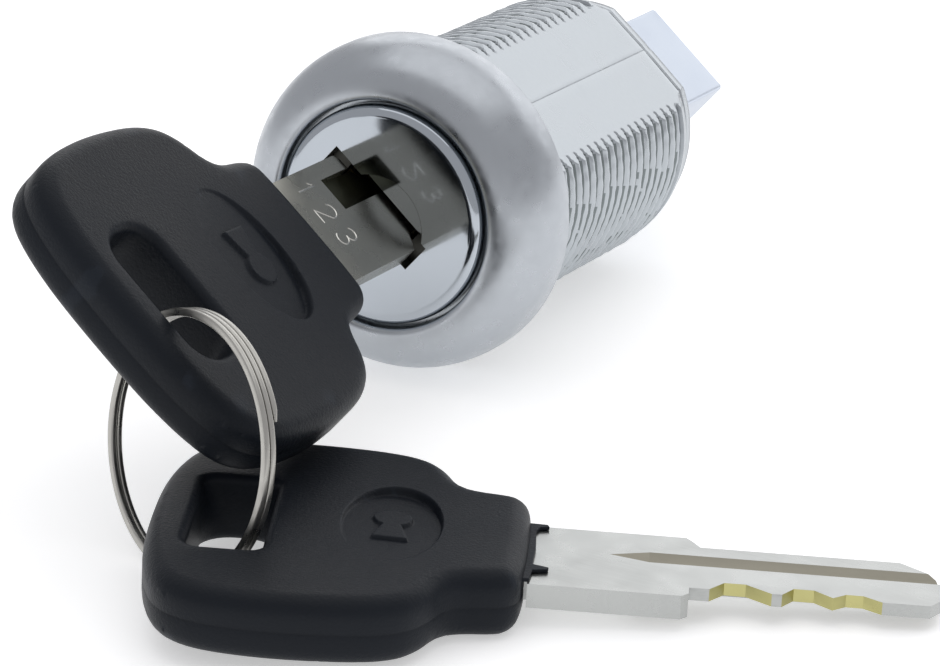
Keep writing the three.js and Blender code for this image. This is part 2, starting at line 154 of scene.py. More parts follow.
def bump(tree, shader, height, strength, distance):
    node = tree.nodes.new("ShaderNodeBump")
    node.inputs["Strength"].default_value = strength
    node.inputs["Distance"].default_value = distance
    tree.links.new(height, node.inputs["Height"])
    tree.links.new(node.outputs["Normal"], shader.inputs["Normal"])


def edge_wear_and_sheen(tree):
    """Where the surface is convex, from the mesh's own curvature: worn edges on metal, painted sheen on
    plastic.
    """
    geometry = tree.nodes.new("ShaderNodeNewGeometry")
    return ramp(tree, geometry.outputs["Pointiness"], 0.5, 0.62, 0, 1)


def concave_shade(tree):
    """Where the surface is concave, so that painted shade can darken it."""
    geometry = tree.nodes.new("ShaderNodeNewGeometry")
    return ramp(tree, geometry.outputs["Pointiness"], 0.495, 0.44, 0, 1)


def tint(color, k):
    return tuple(min(1, c * k) for c in color)


def uneven(tree, value):
    """Makes the painted shade stronger in some places than in others."""
    node = tree.nodes.new("ShaderNodeMath")
    node.operation = "MULTIPLY"
    tree.links.new(value, node.inputs[0])
    patches = noise(tree, 420, 4, rough=0.7)
    tree.links.new(ramp(tree, patches, 0.38, 0.62, 0.3, 1), node.inputs[1])
    return node.outputs["Value"]


def cast_metal(tree, shader, color, roughness):
    """Slightly blotched metal with worn edges and painted shade in its concave places."""
    blotch = noise(tree, 260, 4)
    fine = noise(tree, 2600, 3)
    base = mix(tree, ramp(tree, blotch, 0.35, 0.65, 0, 1), tint(color, 0.93), tint(color, 1.04))
    worn = mix(tree, edge_wear_and_sheen(tree), base, tint(color, 1.15))
    # painted shade: concave places darkened, more in some patches than in others
    with_shade = mix(tree, uneven(tree, concave_shade(tree)), worn, tint(color, 0.22))
    tree.links.new(with_shade, shader.inputs["Base Color"])
    rough = ramp(tree, blotch, 0.3, 0.7, roughness - 0.06, roughness + 0.08)
    tree.links.new(rough, shader.inputs["Roughness"])
    bump(tree, shader, fine, 0.3, 0.00004)


def polished(tree, shader, color, roughness):
    """Plated metal, a little hazy in places."""
    blotch = noise(tree, 120, 3)
    haze = noise(tree, 900, 4)
    base = mix(tree, ramp(tree, blotch, 0.3, 0.7, 0, 1), tint(color, 0.97), tint(color, 1.03))
    tree.links.new(base, shader.inputs["Base Color"])
    rough = ramp(tree, haze, 0.3, 0.75, roughness, roughness * 1.7)
    tree.links.new(rough, shader.inputs["Roughness"])
    bump(tree, shader, noise(tree, 350, 2), 0.05, 0.00002)


def brushed(rotation):
    """Metal with fine lines along the x axis of the frame that the rotation belongs to."""

    def build(tree, shader, color, roughness):
        lines = noise(tree, 160, 3, coords(tree, BRUSH_STRETCH, rotation))
        blotch = noise(tree, 300, 4)
        base = mix(tree, ramp(tree, lines, 0.3, 0.7, 0, 1), tint(color, 0.93), tint(color, 1.05))
        worn = mix(tree, edge_wear_and_sheen(tree), base, tint(color, 1.1))
        tree.links.new(worn, shader.inputs["Base Color"])
        rough = ramp(tree, blotch, 0.3, 0.7, roughness - 0.05, roughness + 0.08)
        tree.links.new(rough, shader.inputs["Roughness"])
        bump(tree, shader, lines, 0.12, 0.00002)

    return build


def moulded(tree, shader, color, roughness):
    """Plastic with a fine grain and a painted sheen that makes its edges paler."""
    grain = noise(tree, 4200, 4, rough=0.65)
    patch = noise(tree, 90, 4)
    edge_sheen = edge_wear_and_sheen(tree)
    base = mix(tree, ramp(tree, patch, 0.35, 0.7, 0, 1), tint(color, 0.9), tint(color, 1.18))
    # painted sheen: the plastic's convex edges made much paler
    tree.links.new(mix(tree, edge_sheen, base, tint(color, 1.7)), shader.inputs["Base Color"])
    rough = ramp(tree, patch, 0.3, 0.7, roughness - 0.04, roughness + 0.06)
    tree.links.new(rough, shader.inputs["Roughness"])
    bump(tree, shader, grain, 0.6, 0.00008)


KEY_1_TURN = KEY_1.to_3x3().inverted().to_euler()
KEY_2_TURN = KEY_2.to_3x3().inverted().to_euler()
zinc = material("zinc", (0.45, 0.48, 0.505), 1, 0.30, cast_metal)
# painted shade for the faces deep in the thread's grooves
thread_painted_shade = material("thread_painted_shade", (0.22, 0.245, 0.25), 1, 0.42, cast_metal)
tail_metal = material("tail_zinc", (0.505, 0.55, 0.62), 1, 0.34, cast_metal)
chrome = material("chrome", (0.46, 0.485, 0.515), 1, 0.25, polished)
face_chrome = material("face_chrome", (0.45, 0.485, 0.525), 1, 0.07, polished)
# painted shade for the walls of the key slot and the recess, and for the plug inside the barrel
slot_painted_shade = material("slot_painted_shade", (0.10, 0.10, 0.09), 1, 0.45, cast_metal)
nickel_1 = material("nickel_1", (0.42, 0.41, 0.36), 1, 0.26, brushed(KEY_1_TURN))
nickel_2 = material("nickel_2", (0.42, 0.43, 0.42), 1, 0.28, brushed(KEY_2_TURN))
bare_brass = material("bare_brass", (0.44, 0.415, 0.185), 1, 0.32, cast_metal)
# worn walls of the narrow groove, darkened further with painted shade
worn_shaded_groove = material("groove_wear_and_shade", (0.27, 0.255, 0.21), 1, 0.36, cast_metal)
# painted shade for the floor of the wide groove
groove_painted_shade = material("groove_painted_shade", (0.10, 0.10, 0.065), 1, 0.4, cast_metal)
wafer_brass = material("wafer_brass", (0.78, 0.62, 0.30), 1, 0.34, cast_metal)
spring_steel = material("spring_steel", (0.55, 0.55, 0.54), 1, 0.3, cast_metal)
ring_steel = material("ring_steel", (0.46, 0.45, 0.42), 1, 0.24, polished)
stamped = material("stamped", (0.62, 0.61, 0.57), 1, 0.3, cast_metal)
black = material("black_plastic", (0.0083, 0.0105, 0.0145), 0, 0.42, moulded, specular=0.15)


# ------------------------------------------------------------------ mesh helpers
SHARP = 35  # degrees between two faces from which their edge looks sharp


def object_from(name, verts, faces, where, mats, sharp=SHARP):
    """Mesh object from millimetres in the local frame where."""
    pts = np.asarray(verts, float) * MM
    m = np.array(where)
    pts = pts @ m[:3, :3].T + m[:3, 3]
    mesh = bpy.data.meshes.new(name)
    mesh.from_pydata(pts.tolist(), [], [list(map(int, f)) for f in faces])
    mesh.validate()
    for mat in mats:
        mesh.materials.append(mat)
    finish_shading(mesh, sharp)
    ob = bpy.data.objects.new(name, mesh)
    bpy.context.scene.collection.objects.link(ob)
    return ob


def finish_shading(mesh, sharp):
    mesh.polygons.foreach_set("use_smooth", [True] * len(mesh.polygons))
    mesh.set_sharp_from_angle(angle=math.radians(sharp))
    mesh.update()


def settle(ob):
    """Applies the modifiers."""
    graph = bpy.context.evaluated_depsgraph_get()
    made = bpy.data.meshes.new_from_object(ob.evaluated_get(graph))
    ob.modifiers.clear()
    ob.data = made
    return ob


def cut(ob, *tools):
    """Takes the tools out of the object and removes them."""
    for tool in tools:
        mod = ob.modifiers.new("cut", "BOOLEAN")
        mod.operation = "DIFFERENCE"
        mod.solver = "EXACT"
        mod.object = tool
    settle(ob)
    for tool in tools:
        bpy.data.objects.remove(tool)
    finish_shading(ob.data, SHARP)


def bevel(ob, width, segments, angle):
    """Rounds the edges sharper than angle and keeps the large faces evenly shaded."""
    mod = ob.modifiers.new("bevel", "BEVEL")
    mod.width = width * MM
    mod.segments = segments
    mod.limit_method = "ANGLE"
    mod.angle_limit = math.radians(angle)
    mod.use_clamp_overlap = True
    settle(ob)
    finish_shading(ob.data, 50)
    mod = ob.modifiers.new("even", "WEIGHTED_NORMAL")
    mod.mode = "FACE_AREA"
    mod.weight = 100
    mod.keep_sharp = True
    return settle(ob)


def bound(ob, body, slot, *nodes):
    """Puts the piece on its body and hides the nodes it replaces. The slot is not used."""
    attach(ob, body)
    if nodes:
        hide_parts(*nodes)


def grid_faces(rows, cols, close_rows, close_cols):
    """Quads between the neighbours of a grid of vertices listed row by row."""
    faces = []
    for i in range(rows if close_rows else rows - 1):
        for j in range(cols if close_cols else cols - 1):
            a, b = i * cols + j, i * cols + (j + 1) % cols
            c, d = ((i + 1) % rows) * cols + (j + 1) % cols, ((i + 1) % rows) * cols + j
            faces.append((a, b, c, d))
    return faces


def all_round(count):
    return np.linspace(0, 2 * math.pi, count, endpoint=False)


def turned(name, profile, where, mats, angles, shape=None, sharp=SHARP):
    """A closed [radius, z] profile turned about z. shape(r, z, angle) may change the radius."""
    verts = []
    for r, z in profile:
        for a in angles:
            q = shape(r, z, a) if shape else r
            verts.append((q * math.cos(a), q * math.sin(a), z))
    faces = grid_faces(len(profile), len(angles), True, True)
    return object_from(name, verts, faces, where, mats, sharp)


def block(name, lo, hi, where):
    x0, y0, z0 = lo
    x1, y1, z1 = hi
    verts = [(x, y, z) for z in (z0, z1) for y in (y0, y1) for x in (x0, x1)]
    faces = [(0, 2, 3, 1), (4, 5, 7, 6), (0, 1, 5, 4), (2, 6, 7, 3), (0, 4, 6, 2), (1, 3, 7, 5)]
    return object_from(name, verts, faces, where, [])


def prism(name, outline, z0, z1, where, mats=()):
    n = len(outline)
    verts = [(x, y, z0) for x, y in outline] + [(x, y, z1) for x, y in outline]
    faces = [tuple(range(n))[::-1], tuple(range(n, 2 * n))]
    faces += [(i, (i + 1) % n, n + (i + 1) % n, n + i) for i in range(n)]
    return object_from(name, verts, faces, where, mats)


def on_ellipse(cx, cy, rx, ry, degrees):
    a = math.radians(degrees)
    return cx + rx * math.cos(a), cy + ry * math.sin(a)


def arc(cx, cy, rx, ry, a0, a1, n):
    """Points on an ellipse's arc from a0 to a1 degrees, in n steps."""
    return [on_ellipse(cx, cy, rx, ry, a0 + (a1 - a0) * i / n) for i in range(n + 1)]


def rounded_corners(x0, x1, half, r, step):
    """Outline of a rectangle with its corners rounded to r, in steps of so many degrees."""
    points = []
    for cx, cy, start in (
        (x1 - r, half - r, 0),
        (x0 + r, half - r, 90),
        (x0 + r, -half + r, 180),
        (x1 - r, -half + r, 270),
    ):
        points += [on_ellipse(cx, cy, r, r, start + s) for s in range(0, 91, step)]
    return points


def weld(ob, distance=0.002):
    """Joins vertices that lie together and turns every face outwards."""
    bm = bmesh.new()
    bm.from_mesh(ob.data)
    bmesh.ops.remove_doubles(bm, verts=bm.verts, dist=distance * MM)
    bmesh.ops.recalc_face_normals(bm, faces=bm.faces)
    bm.to_mesh(ob.data)
    bm.free()
    finish_shading(ob.data, SHARP)


def merge_flats(ob):
    """Joins faces that lie in one plane, so that edges can be rounded evenly."""
    bm = bmesh.new()
    bm.from_mesh(ob.data)
    bmesh.ops.remove_doubles(bm, verts=bm.verts, dist=0.001 * MM)
    bmesh.ops.dissolve_limit(bm, angle_limit=math.radians(0.5), verts=bm.verts, edges=bm.edges)
    bm.to_mesh(ob.data)
    bm.free()


def carried(name, node, mats, width, segments, angle):
    """The node's own shape with its edges rounded off."""
    source = frame["nodes"][node]
    ob = bpy.data.objects.new(name, source.data.copy())
    bpy.context.scene.collection.objects.link(ob)
    ob.data.materials.clear()
    for mat in mats:
        ob.data.materials.append(mat)
    merge_flats(ob)
    return bevel(ob, width, segments, angle)


# ------------------------------------------------------------------ barrel
THREAD_R, ROOT_R, PITCH = 11.0, 10.25, 1.25
THREAD_FROM, THREAD_TO = 2.3, 27.6
FLAT = 9.2
FLAT_DRAFT = math.radians(1.0)  # each flat is two faces that meet at the parting line
FLAT_REACH = 1.2  # no flat reaches further round than this, in radians
FLAT_INSET = 0.03
SEAM, SEAM_DEPTH = 0.008, 0.05  # the parting line's half width in radians, and its depth
FLANGE_R = 12.4
BARREL_END = 29.3
BORE = 7.68
WAFER_GROOVE = 23.6  # the wafers' grooves reach this many degrees to either side
GROOVE_FROM, GROOVE_TO = -3.4, 8.4
GROOVE_R, GROOVE_HALF = 8.35, 3.35
STOP_POCKET = (165, 285)  # degrees between which the plug's stop lug can turn
POCKET_FROM, POCKET_R = 26.45, 8.72
PLATE_R, PLATE_HOLE = 10.1, 6.5
PLATE_FROM, PLATE_TO = 29.6, 30.7


def angle_between(a, b):
    return abs((a - b + math.pi) % (2 * math.pi) - math.pi)


def flat_limit(a):
    """Greatest radius that the two flats leave at angle a."""
    limit = math.inf
    for centre in (-math.pi / 2, math.pi / 2):
        off = angle_between(a, centre)
        if off < FLAT_REACH:
            seam = SEAM_DEPTH * max(0.0, 1 - off / SEAM)
            face = FLAT * math.cos(FLAT_DRAFT) / math.cos(off - FLAT_DRAFT)
            limit = min(limit, face - FLAT_INSET - seam)
    return limit


def about_flats(degrees):
    """Angles so many degrees to either side of the middle of each flat."""
    middles = (-math.pi / 2, math.pi / 2)
    found = {m + math.radians(k * d) for m in middles for k in (-1, 1) for d in degrees}
    return {round(a % (2 * math.pi), 6) for a in found}


def thread_radius(z, a):
    """Radius of the worn thread, which fades out at both ends."""
    phase = (z / PITCH - a / (2 * math.pi)) % 1.0
    ridge = 1 - abs(2 * phase - 1) ** 2.4
    fade = min(1.0, max(0.0, (z - THREAD_FROM) / 0.6), max(0.0, (THREAD_TO - z) / 1.2))
    nicks = 0.05 * math.sin(37 * a + 2.1 * z) * math.sin(5.3 * z + 3 * a) + 0.03 * math.sin(61 * a - 4 * z)
    return ROOT_R + (THREAD_R - ROOT_R - 0.04) * ridge * fade + (1 - fade) * 0.25 + 0.5 * nicks * ridge


def bore_radius(r, z, a):
    """The plain bore r with the wafers' grooves and the stop pocket."""
    for centre in (0, math.pi / 2):
        off = angle_between(a, centre)
        if GROOVE_FROM < z < GROOVE_TO and off < math.radians(WAFER_GROOVE):
            return max(r, min(GROOVE_R / math.cos(off), GROOVE_HALF / max(1e-6, math.sin(off))))
    pocket_from, pocket_to = (math.radians(d) for d in STOP_POCKET)
    if z > POCKET_FROM and pocket_from < a % (2 * math.pi) < pocket_to:
        return POCKET_R
    return r


def barrel_shape(r, z, a):
    """Radius of the barrel. The profile marks the bore with a negative radius."""
    if r < 0:
        return bore_radius(-r, z, a)
    if z < 1.55:  # the flange under the bezel is round
        return r
    return min(thread_radius(z, a) if z < THREAD_TO else r, flat_limit(a))


def barrel():
    profile = [(9.1, -3.8), (9.1, -4.25)]
    profile += [(9.6 + 2.8 * math.sin(t), -4.35 * math.cos(t)) for t in np.linspace(0.05, math.pi / 2, 8)]
    profile += [(FLANGE_R, 1.35), (FLANGE_R - 0.05, 1.5), (THREAD_R, 1.5)]
    profile += [(THREAD_R, z) for z in np.arange(1.56, THREAD_TO, PITCH / 11)]
    profile += [(10.8, THREAD_TO + 0.1), (10.72, 28.3), (10.35, 28.95), (10.15, BARREL_END)]
    steps = [POCKET_FROM + 0.01, POCKET_FROM - 0.01, GROOVE_TO + 0.02, GROOVE_TO - 0.02]
    steps += [GROOVE_FROM + 0.02, GROOVE_FROM - 0.02]
    profile += [(-BORE, z) for z in [BARREL_END] + steps + [-3.8]]
    spread = np.concatenate([np.arange(0, 26, 3.2), np.arange(26, 35.5, 0.35), np.arange(36, 90, 1.5)])
    sides = [-WAFER_GROOVE, WAFER_GROOVE, 90 - WAFER_GROOVE, 90 + WAFER_GROOVE, *STOP_POCKET]
    steep = {round(math.radians(d + k) % (2 * math.pi), 6) for d in sides for k in (-0.1, 0.1)}
    angles = sorted(about_flats([*spread, math.degrees(SEAM)]) | steep)
    ob = turned("barrel", profile, LOCK, [zinc, thread_painted_shade], angles, barrel_shape, 40)
    to_lock = LOCK.inverted()
    # faces deep in the thread's grooves get painted shade, with a wavy edge
    for face in ob.data.polygons:
        x, y, z = to_lock @ face.center / MM
        a = math.atan2(y, x)
        patchy = 0.07 * math.sin(17 * a + 2 * z) * math.sin(5 * a - 3 * z)
        deep = ROOT_R - 0.2 < math.hypot(x, y) < ROOT_R + 0.5 + patchy
        if deep and THREAD_FROM < z < THREAD_TO - 1 and abs(y) < FLAT - 0.3:
            face.material_index = 1
    bound(ob, "housing", "zinc_body", "housing")


def rear_plate():
    """The plate that is staked on behind the barrel, with the same two flats."""

    def shape(r, z, a):
        if r < 8:  # the hole stays round
            return r
        return min(r, flat_limit(a) - 0.8 * (PLATE_R - r))

    profile = [(PLATE_HOLE, PLATE_FROM + 0.15), (PLATE_HOLE + 0.15, PLATE_FROM)]
    profile += [(PLATE_R - 0.15, PLATE_FROM), (PLATE_R, PLATE_FROM + 0.15)]
    profile += [(PLATE_R, PLATE_TO - 0.25), (PLATE_R - 0.1, PLATE_TO - 0.08), (PLATE_R - 0.3, PLATE_TO)]
    profile += [(PLATE_HOLE + 0.15, PLATE_TO), (PLATE_HOLE, PLATE_TO - 0.15)]
    spread = np.concatenate([np.arange(0, 23, 3), np.arange(23, 27, 0.4), np.arange(27, 90, 2)])
    ob = turned("rear_plate", profile, LOCK, [zinc], sorted(about_flats(spread)), shape)
    bound(ob, "housing", "zinc_plate", "back_plate")


def bezel():
    """A thin domed shell with a rolled lip inside and a rolled rim behind."""
    middle, wide, deep, wall = 9.6, 3.65, 5.2, 0.55
    lip = arc(middle, wall - deep, wall, wall, 180, 270, 8)[:-1]
    outer = arc(middle, 0, wide, deep, -90, 0, 40)
    rim = arc(13.0, 0.85, 0.25, 0.25, 0, 90, 5) + [(12.75, 1.1)]
    inner = arc(middle, 0, wide - wall, deep - wall, 0, -90, 16) + [(9.0, -4.35)]
    ob = turned("bezel_ring", lip + outer + rim + inner, LOCK, [chrome], all_round(224))
    bound(ob, "housing", "chrome_bezel", "bezel")


# ------------------------------------------------------------------ plug
CAP_FRONT, CAP_BACK = -5.4, -4.1
CORE_DARK_TO = 27.0  # the plug gets painted shade up to here; only its tail, where it stands out of the barrel, keeps its bright metal
KEY_X = -0.9
SLOT_HALF = (5.25, 1.25)
MOON_AT, MOON_R = (0.3, 0.95), 4.15  # the recess beside the slot is part of this circle
MOON_EDGE = -0.9  # and lies below this line
MOON_DEPTH = 0.85
DARK_R = 6.5  # walls nearer to the middle than this belong to the slot and the recess, and get painted shade


def plug_face():
    """The domed cap, with the key slot and the moon-shaped recess cut into it."""
    rim = arc(7.8, -4.5, 0.92, 0.9, -90, 0, 12)
    profile = [(0.001, CAP_FRONT), (4, CAP_FRONT)] + rim + [(8.72, CAP_BACK), (0.001, CAP_BACK)]
    ob = turned("plug_face", profile, LOCK, [face_chrome], all_round(192))
    weld(ob)
    across, along = SLOT_HALF
    lo = (KEY_X - across, -along, CAP_FRONT - 1)
    hi = (KEY_X + across, along, CAP_BACK + 1)
    slot = block("slot", lo, hi, LOCK)
    cx, cy = MOON_AT
    a0 = math.asin((MOON_EDGE - cy) / MOON_R)
    turns = np.linspace(-math.pi - a0, a0, 48)
    moon = [(cx + MOON_R * math.cos(a), cy + MOON_R * math.sin(a)) for a in turns]
    recess = prism("moon", moon, CAP_FRONT - 1, CAP_FRONT + MOON_DEPTH, LOCK)
    cut(ob, slot, recess)
    merge_flats(ob)
    bevel(ob, 0.11, 3, 50)
    # the walls of the slot and the recess get painted shade
    ob.data.materials.append(slot_painted_shade)
    to_lock = LOCK.inverted()
    for face in ob.data.polygons:
        at = to_lock @ face.center / MM
        faces_front = (to_lock.to_3x3() @ face.normal).z <= -0.97
        if math.hypot(at.x, at.y) < DARK_R and not faces_front:
            face.material_index = 1
    bound(ob, "plug", "chrome_face", "plug_cap")


def plug():
    ob = carried("plug_core", "plug", [tail_metal, slot_painted_shade], 0.12, 3, 40)
    # the plug inside the barrel gets painted shade
    to_lock = LOCK.inverted()
    for face in ob.data.polygons:
        if (to_lock @ face.center).z / MM < CORE_DARK_TO:
            face.material_index = 1
    bound(ob, "plug", "zinc_plug", "plug")


# ------------------------------------------------------------------ keys
BOW_HALF = [  # upper half of a head's outline, from the blade back to the end
    (-11.3, 5.5), (-12.0, 6.9), (-13.1, 7.4), (-15.6, 7.7), (-16.7, 8.7), (-17.6, 10.8), (-19.0, 12.4),
    (-21.6, 13.4), (-27.0, 13.9), (-31.4, 13.6), (-34.2, 12.8), (-36.1, 11.2), (-37.2, 8.2), (-37.8, 4.0),
]
BOW_T = 5.0
EDGE_R = 1.5
MOUTH_R = 0.72  # rounding of the ring hole's edges
HOLE = (-34.7, -29.4, 5.8)  # x from and to, and half its height
HOLE_CORNERS = {1: 1.0, -1: 2.3}  # corner radius of the hole on either face
OVAL = (-20.9, 3.6, 6.3)  # x of its middle, and its half axes
OVAL_MEAN = (OVAL[1] + OVAL[2]) / 2
OVAL_WALL = 0.28  # width of the slope round the sunk oval
SIGN_HEIGHT, SIGN_WALL = 0.27, 0.14
BLADE_FACE = 0.9
CUTS = (1.3, 13.4)  # x between which the edge of the blade is cut


def smooth_loop(points, rounds):
    """Cuts the corners off a closed loop, as many times as there are rounds."""
    for _ in range(rounds):
        p = np.asarray(points, float)
        q = np.roll(p, -1, 0)
        points = np.stack([0.75 * p + 0.25 * q, 0.25 * p + 0.75 * q], 1).reshape(-1, 2)
    return np.asarray(points)


def resample(points, count):
    """Evenly spaced points on a closed loop."""
    p = np.vstack([points, points[:1]])
    step = np.hypot(*np.diff(p, axis=0).T)
    at = np.concatenate([[0], np.cumsum(step)])
    s = np.linspace(0, at[-1], count, endpoint=False)
    return np.stack([np.interp(s, at, p[:, 0]), np.interp(s, at, p[:, 1])], 1)


def distance_inside(points, loop):
    """Signed distance to a closed loop, positive inside."""
    a, b = loop, np.roll(loop, -1, 0)
    e = b - a
    w = points[:, None] - a[None]
    t = np.clip((w * e).sum(2) / np.maximum((e * e).sum(1), 1e-12), 0, 1)
    d = np.sqrt(((w - t[..., None] * e) ** 2).sum(2)).min(1)
    up = (a[:, 1] > points[:, None, 1]) != (b[:, 1] > points[:, None, 1])
    rise = np.where(np.abs(e[:, 1]) < 1e-12, 1e-12, e[:, 1])
    cross = (b[:, 0] - a[:, 0]) * (points[:, None, 1] - a[:, 1]) / rise + a[:, 0]
    inside = (up & (points[:, None, 0] < cross)).sum(1) % 2 == 1
    return np.where(inside, d, -d)


def inward(loop, d):
    """Loop moved inwards by d along its own normals."""
    t = np.roll(loop, -1, 0) - np.roll(loop, 1, 0)
    n = np.stack([t[:, 1], -t[:, 0]], 1) / np.hypot(*t.T)[:, None]
    if (distance_inside(loop + 0.01 * n, loop) > 0).mean() < 0.5:
        n = -n
    return loop + d * n


def sign_shape(p):
    """Distance into a plain keyhole sign centred in the oval, positive inside."""
    x, y = p[:, 0] - OVAL[0], p[:, 1]
    ring = 1.45 - np.hypot(x, y - 1.2)
    leg = np.minimum(0.55 + 0.24 * (0.9 - y) - np.abs(x), np.minimum(y + 2.5, 1.6 - y))
    return np.maximum(ring, leg)


def soft_step(value):
    """0 below zero, 1 above one and a smooth slope between them."""
    t = np.clip(value, 0, 1)
    return t * t * (3 - 2 * t)


def face_height(p, outline, hole):
    """Height of the head's face above its middle plane, with the oval and the sign."""
    d = distance_inside(p, outline)
    z = np.full(len(p), BOW_T / 2)
    k = np.clip((EDGE_R - d) / EDGE_R, 0, 1)
    z -= EDGE_R * (1 - np.sqrt(1 - k * k))
    h = np.clip((MOUTH_R + distance_inside(p, hole)) / MOUTH_R, 0, 1)
    z -= MOUTH_R * (1 - np.sqrt(np.maximum(0, 1 - h * h)))
    u, v = (p[:, 0] - OVAL[0]) / OVAL[1], p[:, 1] / OVAL[2]
    sunk = np.clip(0.33 + 0.14 * u + 0.30 * v, 0.02, 0.72)
    z -= sunk * soft_step((1 - np.hypot(u, v)) * OVAL_MEAN / OVAL_WALL)
    return z + SIGN_HEIGHT * soft_step(sign_shape(p) / SIGN_WALL)


def grid_points(xs, ys):
    gx, gy = np.meshgrid(xs, ys)
    return np.stack([gx.ravel(), gy.ravel()], 1)


def face_points(outline, hole):
    """Points for the face of a head, close together where it curves."""
    pts = []
    for deg in (12, 24, 36, 48, 60, 72, 82, 90):
        ring = inward(outline, EDGE_R * (1 - math.cos(math.radians(deg))))
        pts.append(ring[::1 if deg < 50 else 2])
    for deg in (15, 35, 55, 75, 90):
        pts.append(inward(hole, -MOUTH_R * (1 - math.cos(math.radians(deg)))))
    a = all_round(150)
    for step in (-0.25, -0.08, 0.0, 0.05, 0.12, 0.19, 0.26, 0.34, 0.5):
        k = 1 - step / OVAL_MEAN
        pts.append(np.stack([OVAL[0] + OVAL[1] * k * np.cos(a), OVAL[2] * k * np.sin(a)], 1))
    pts.append(grid_points(np.arange(-37.2, -12, 0.7), np.arange(-13.3, 13.4, 0.7)))
    pts.append(grid_points(np.arange(-1.8, 1.81, 0.1) + OVAL[0], np.arange(-2.8, 2.9, 0.1)))
    inner = np.vstack(pts)
    keep = (distance_inside(inner, outline) > 0.02) & (distance_inside(inner, hole) < -0.004)
    inner = inner[keep]
    cells = np.round(inner / 0.035).astype(int)
    _, first = np.unique(cells, axis=0, return_index=True)
    return inner[np.sort(first)]


def loop_edges(count, start=0):
    return [(start + i, start + (i + 1) % count) for i in range(count)]


def bow_face(outline, hole):
    """Triangles between the outline and the hole, and where the two loops' points went."""
    n_o, n_h = len(outline), len(hole)
    flat = np.vstack([outline, hole, face_points(outline, hole)])
    edges = loop_edges(n_o) + loop_edges(n_h, n_o)
    out_v, _, out_f, orig, _, _ = delaunay_2d_cdt([Vector(p) for p in flat], edges, [], 0, 1e-7)
    xy = np.array([tuple(v) for v in out_v])
    tri = np.array(out_f)
    mid = xy[tri].mean(1)
    tri = tri[(distance_inside(mid, outline) > 0) & (distance_inside(mid, hole) < 0)]
    went = {old: new for new, olds in enumerate(orig) for old in olds}
    return xy, tri, [went[i] for i in range(n_o + n_h)]


def bow_mesh():
    """Rounded slab with a ring hole and a sunk oval on both faces, as vertices and faces."""
    half = np.array(BOW_HALF)
    outline = resample(smooth_loop(np.vstack([half, half[::-1] * (1, -1)]), 3), 300)
    loops = {side: resample(np.array(rounded_corners(*HOLE, r, 6)), 96) for side, r in HOLE_CORNERS.items()}
    verts, faces, rims, mouths = [], [], {}, {}
    for side in (1, -1):
        xy, tri, went = bow_face(outline, loops[side])
        base = len(verts)
        e1, e2 = xy[tri[:, 1]] - xy[tri[:, 0]], xy[tri[:, 2]] - xy[tri[:, 0]]
        ccw = (e1[:, 0] * e2[:, 1] - e1[:, 1] * e2[:, 0]) > 0
        for f, c in zip(tri, ccw):
            f = f if (c == (side > 0)) else f[::-1]
            faces.append(tuple(int(i) + base for i in f))
        verts += [(x, y, side * h) for (x, y), h in zip(xy, face_height(xy, outline, loops[side]))]
        rims[side] = [base + i for i in went[:len(outline)]]
        mouths[side] = [base + i for i in went[len(outline):]]

    def wall(top, bottom, loop, levels, flip):
        """Joins two loops of vertices through levels of (z, shift inwards)."""
        rows = [top]
        for z, shift in levels:
            moved = inward(loop, shift)
            rows.append(list(range(len(verts), len(verts) + len(loop))))
            verts.extend((x, y, z) for x, y in moved)
        rows.append(bottom)
        n = len(top)
        for upper, lower in zip(rows, rows[1:]):
            for i in range(n):
                f = (upper[i], lower[i], lower[(i + 1) % n], upper[(i + 1) % n])
                faces.append(f[::-1] if flip else f)

    parting_line = [(0.14, 0), (0.05, 0.035), (-0.05, 0.035), (-0.14, 0)]
    wall(rims[1], rims[-1], outline, parting_line, polygon_area(outline) < 0)
    wall(mouths[1], mouths[-1], (loops[1] + loops[-1]) / 2, [(0, 0)], polygon_area(loops[1]) >= 0)
    return verts, faces


def polygon_area(loop):
    x, y = loop.T
    return 0.5 * float(np.sum(x * np.roll(y, -1) - y * np.roll(x, -1)))


def bows():
    verts, faces = bow_mesh()
    for number, where in ((1, KEY_1), (2, KEY_2)):
        ob = object_from(f"key_{number}_head", verts, faces, where, [black], 60)
        weld(ob, 0.0005)
        finish_shading(ob.data, 60)
        bound(ob, f"key_{number}", "black_plastic", f"key_{number}_bow")


def blade_material(at, n):
    """Which of a blade's materials a face shows, from its middle and normal in the key's frame."""
    if CUTS[0] < at.x < CUTS[1] and -3.38 < at.y < -1.9 and n.y < -0.4:
        return 1  # the cut edge, down to the brass
    if 0.33 < at.z < 0.87 and 0.2 < at.y < 2.0 and 0.2 < n.z < 0.95:
        return 2  # the walls of the narrow groove, worn and in painted shade
    in_side_groove = -0.85 < at.z < 0.02 and -3.5 < at.y < -0.4 and at.x > -4.25
    at_its_point = at.x < -4.1
    if in_side_groove and abs(n.z + 1) < (1.0 if at_its_point else 0.1):
        return 3  # the floor of the wide groove, in painted shade
    return 0


def blades():
    for number, where, nickel in ((1, KEY_1, nickel_1), (2, KEY_2, nickel_2)):
        node = f"key_{number}_blade"
        ob = carried(f"key_{number}_metal", node, [nickel, bare_brass, worn_shaded_groove, groove_painted_shade], 0.07, 2, 30)
        back = where.inverted()
        for face in ob.data.polygons:
            face.material_index = blade_material(back @ face.center / MM, back.to_3x3() @ face.normal)
        bound(ob, f"key_{number}", "nickel_key", node)


